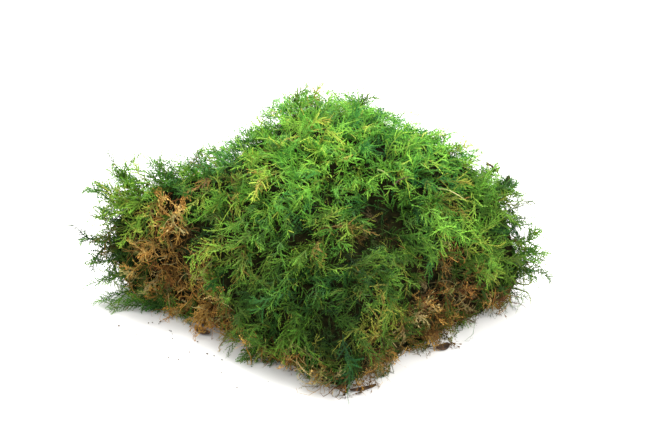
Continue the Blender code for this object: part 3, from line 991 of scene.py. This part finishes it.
def grow_dead_sprays(growth, shapes, stem, rng):
    """The dead shoots of DEAD_SPRAYS, with painted shade that makes those on the right darker."""
    ends = np.array(DEAD_SPRAYS).swapaxes(0, 1) * MM
    spines = spray_spines(rng, ends, tilt=0.4, wave=0.0016)
    count = len(DEAD_SPRAYS)
    tint = rng.uniform(0.40, 0.72, count)
    # Painted shade: the sprays on the right are darker.
    shade = np.where(ends[0, :, 0] > 0, 0.36, 0.85)
    grow_stems(growth, stem, spines, np.full(count, 0.0003), tint, shade)
    grow_dead_branches(growth, shapes, spines, rng, 11, 0.0042, tint, shade)


def build_dead_stems():
    """Dead shoots and bare strands on the mat's open sides and worn places, and the dead sprays."""
    sizes = bpy.context.scene.moss_sizes
    rng = np.random.default_rng(DEAD_SEED)
    shapes = [branch_shape(rng, pairs=3, leaf_length=0.38, leaf_width=0.14) for _ in range(5)]
    stem = stem_shape(7)
    mat, worn = mat_sides(), Ground("canopy", faces_out)
    worn.area = worn.area * (worn_at(worn.corners.mean(1)) > 0.25)
    growth = Growth()
    for wanted, lengths, wave, is_branched in (
        (sizes.dead_count, (0.008, 0.015), 0.0012, True),
        (sizes.strand_count, (0.006, 0.014), 0.0018, False),
    ):
        places, outward = scatter_both(rng, wanted, mat, worn)
        count = len(places)
        shifts = patch_shifts(places)
        hollows = np.clip(noise_at(places, 0.009, 8.0) * DEAD_RELIEF_SIZE, *DEAD_RELIEF)
        relief = hollows - np.maximum(shifts[:, 2], 0)
        tint, shade = dead_looks(rng, places, relief, shifts)
        places = places + outward * relief[:, None]
        spines = dead_spines(rng, places, outward, rng.uniform(*lengths, count), wave)
        grow_stems(growth, stem, spines, rng.uniform(*DEAD_STEM_RADII, count), tint, shade)
        if is_branched:
            grow_dead_branches(growth, shapes, spines, rng, DEAD_BRANCH_PAIRS, DEAD_BRANCH, tint, shade)
    grow_dead_sprays(growth, shapes, stem, rng)
    growth.finish("dead_stems", dead_material(), "dead_stem")


def build_shoots():
    """Each loose shoot, rooted a little inside the clump, and the sprays beside it."""
    rng = np.random.default_rng(SHOOT_SEED)
    shapes = [branch_shape(rng, pairs=5, leaf_length=0.30, leaf_width=0.12) for _ in range(6)]
    stem = stem_shape(8)
    middle = Vector((0, 0, 0.035))
    for node, slot, route, facing, branch, pairs, tint, shade in SHOOTS:
        knots = [Vector(point) * MM for point in route]
        knots.insert(0, knots[0] + (middle - knots[0]).normalized() * SHOOT_ROOT_DEPTH)
        spines = Spines(through(knots), unit(np.array([facing])))
        growth = Growth()
        tints, shades = np.array([tint]), np.array([shade])
        grow_stems(growth, stem, spines, np.array([SHOOT_STEM_RADIUS]), tints + 0.08, shades * 0.9)
        grow_branches(growth, shapes, spines, rng, pairs, np.array([branch * MM]), tints, shades)
        growth.finish(node.replace("shoot", "frond"), frond_material(), slot, (node,))
    build_sprays(rng, shapes, stem)


def build_sprays(rng, shapes, stem):
    """Two fronds side by side for each of SPRAYS."""
    ends = np.repeat(np.array(SPRAYS), 2, axis=0).swapaxes(0, 1) * MM
    ends = ends + rng.normal(0, 0.0013, ends.shape)
    spines = spray_spines(rng, ends, tilt=0.3, wave=0.0012)
    count = ends.shape[1]
    tint = rng.uniform(0.22, 0.46, count)
    shade = rng.uniform(0.55, 0.80, count)
    growth = Growth()
    grow_stems(growth, stem, spines, np.full(count, 0.0004), tint + 0.1, shade * 0.9)
    reach = rng.uniform(0.0045, 0.0062, count)
    grow_branches(growth, shapes, spines, rng, 14, reach, tint, shade)
    growth.finish("frond_sprays", frond_material(), "green_frond")


def build_crumbs():
    """Grains of soil and leaf scattered on the floor in front of the clump's left side."""
    rng = np.random.default_rng(CRUMB_SEED)
    bm = bmesh.new()
    for _ in range(bpy.context.scene.moss_sizes.crumb_count):
        along = rng.normal(-0.010, 0.026)
        away = rng.uniform(-0.099, -0.075)
        size = rng.uniform(0.00018, 0.00048)
        verts = bmesh.ops.create_icosphere(bm, subdivisions=1, radius=size)["verts"]
        stretch = Vector((rng.uniform(0.8, 1.8), rng.uniform(0.8, 1.4), 0.6))
        for vert in verts:
            x, y, z = (vert.co[axis] * stretch[axis] for axis in range(3))
            vert.co = Vector((along + x, away + y, FLOOR_CLEARANCE + 0.6 * size + z))
    mesh = finished_mesh(bm, "crumbs")
    mesh.materials.append(get_material("crumb_soil", mottled_material, *CRUMB_FINISH))
    add_piece("crumbs", mesh)


def finish_small_nodes():
    """Give the twigs, stalks, bud scale, flakes and sliver their own mottled finishes."""
    for name, finish, nodes in SMALL_FINISHES:
        material = get_material(name, mottled_material, *finish)
        for node in nodes:
            for material_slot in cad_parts[node].material_slots:
                material_slot.material = material


class MOSS_OT_beds(bpy.types.Operator):
    """Build the dense inside of the green layer and of the dead mat"""

    bl_idname = "moss.beds"
    bl_label = "Matted beds"

    def execute(self, context):
        build_bed("canopy", "canopy_bed", CANOPY_INSET)
        build_bed("thatch", "thatch_bed", MAT_INSET)
        return {"FINISHED"}


class MOSS_OT_fronds(bpy.types.Operator):
    """Grow the living fronds over the green layer"""

    bl_idname = "moss.fronds"
    bl_label = "Living fronds"

    def execute(self, context):
        build_fronds()
        return {"FINISHED"}


class MOSS_OT_dead_stems(bpy.types.Operator):
    """Curl dead stems over the bare sides of the mat"""

    bl_idname = "moss.dead_stems"
    bl_label = "Dead stems"

    def execute(self, context):
        build_dead_stems()
        return {"FINISHED"}


class MOSS_OT_shoots(bpy.types.Operator):
    """Grow the loose shoots that stand out from the clump"""

    bl_idname = "moss.shoots"
    bl_label = "Loose shoots"

    def execute(self, context):
        build_shoots()
        return {"FINISHED"}


class MOSS_OT_litter(bpy.types.Operator):
    """Finish the twigs and flakes and scatter crumbs on the floor"""

    bl_idname = "moss.litter"
    bl_label = "Litter and crumbs"

    def execute(self, context):
        finish_small_nodes()
        build_crumbs()
        return {"FINISHED"}


class MOSS_OT_stage(bpy.types.Operator):
    """Lay the pale floor, hang the soft lights and set the camera"""

    bl_idname = "moss.stage"
    bl_label = "Floor, lights and camera"

    def execute(self, context):
        build_floor(context.scene)
        build_lights(context.scene)
        build_camera(context.scene)
        context.scene.view_settings.view_transform = "Standard"
        return {"FINISHED"}


def build_floor(scene):
    """A wide flat floor under the clump."""
    bm = bmesh.new()
    bmesh.ops.create_grid(bm, x_segments=1, y_segments=1, size=3.0)
    mesh = finished_mesh(bm, "floor")
    floor = bpy.data.objects.new("floor", mesh)
    scene.collection.objects.link(floor)
    paint, _, _, shader = new_material("pale_floor", roughness=0.9, shine=0.5)
    shader.inputs["Base Color"].default_value = (*scene.moss_stage.floor_colour, 1.0)
    mesh.materials.append(paint)


def build_lights(scene):
    """White surroundings, a large soft light high behind the clump and a weaker one on its right."""
    settings = scene.moss_stage
    world = bpy.data.worlds.new("studio")
    world.use_nodes = True
    sky = world.node_tree.nodes["Background"]
    sky.inputs["Color"].default_value = (1.0, 1.0, 1.0, 1.0)
    sky.inputs["Strength"].default_value = settings.sky_strength
    scene.world = world

    for name, place, size, power in (
        ("key", KEY_PLACE, 0.7, settings.key_power),
        ("fill", FILL_PLACE, 0.6, settings.fill_power),
    ):
        light = bpy.data.lights.new(name, "AREA")
        light.shape = "DISK"
        light.size = size
        light.energy = power
        light.color = LIGHT_COLOUR
        lamp = bpy.data.objects.new(name, light)
        lamp.location = place
        ahead = Vector(LIGHT_TARGET) - lamp.location
        lamp.rotation_euler = ahead.to_track_quat("-Z", "Y").to_euler()
        scene.collection.objects.link(lamp)


def build_camera(scene):
    """The camera, turned about its target from the front and raised."""
    camera = bpy.data.objects.new("camera", bpy.data.cameras.new("camera"))
    azimuth = math.radians(CAMERA_AZIMUTH)
    elevation = math.radians(CAMERA_ELEVATION)
    right = math.sin(azimuth) * math.cos(elevation)
    front = math.cos(azimuth) * math.cos(elevation)
    back = Vector((right, -front, math.sin(elevation)))
    camera.location = Vector(CAMERA_TARGET) + back * CAMERA_DISTANCE
    camera.rotation_euler = (-back).to_track_quat("-Z", "Y").to_euler()
    camera.data.lens = CAMERA_LENS
    camera.data.sensor_width = 36
    camera.data.clip_start = 0.05
    camera.data.clip_end = 20
    scene.collection.objects.link(camera)
    scene.camera = camera


class MOSS_PT_clump(bpy.types.Panel):
    """Lists the steps that dress the clump"""

    bl_idname = "MOSS_PT_clump"
    bl_label = "Fern moss clump"
    bl_space_type = "VIEW_3D"
    bl_region_type = "UI"
    bl_category = "Moss"

    def draw(self, context):
        for operator in OPERATORS:
            self.layout.operator(operator.bl_idname)


OPERATORS = (
    MOSS_OT_beds,
    MOSS_OT_fronds,
    MOSS_OT_dead_stems,
    MOSS_OT_shoots,
    MOSS_OT_litter,
    MOSS_OT_stage,
)
CLASSES = (MossSizes, MossColours, MossStage, *OPERATORS, MOSS_PT_clump)


def register():
    for cls in CLASSES:
        bpy.utils.register_class(cls)
    bpy.types.Scene.moss_sizes = bpy.props.PointerProperty(type=MossSizes)
    bpy.types.Scene.moss_colours = bpy.props.PointerProperty(type=MossColours)
    bpy.types.Scene.moss_stage = bpy.props.PointerProperty(type=MossStage)


def unregister():
    del bpy.types.Scene.moss_stage
    del bpy.types.Scene.moss_colours
    del bpy.types.Scene.moss_sizes
    for cls in reversed(CLASSES):
        bpy.utils.unregister_class(cls)


def main():
    register()
    noise.seed_set(NOISE_SEED)
    bpy.ops.moss.beds()
    bpy.ops.moss.fronds()
    bpy.ops.moss.dead_stems()
    bpy.ops.moss.shoots()
    bpy.ops.moss.litter()
    bpy.ops.moss.stage()


if __name__ == "__main__":
    main()
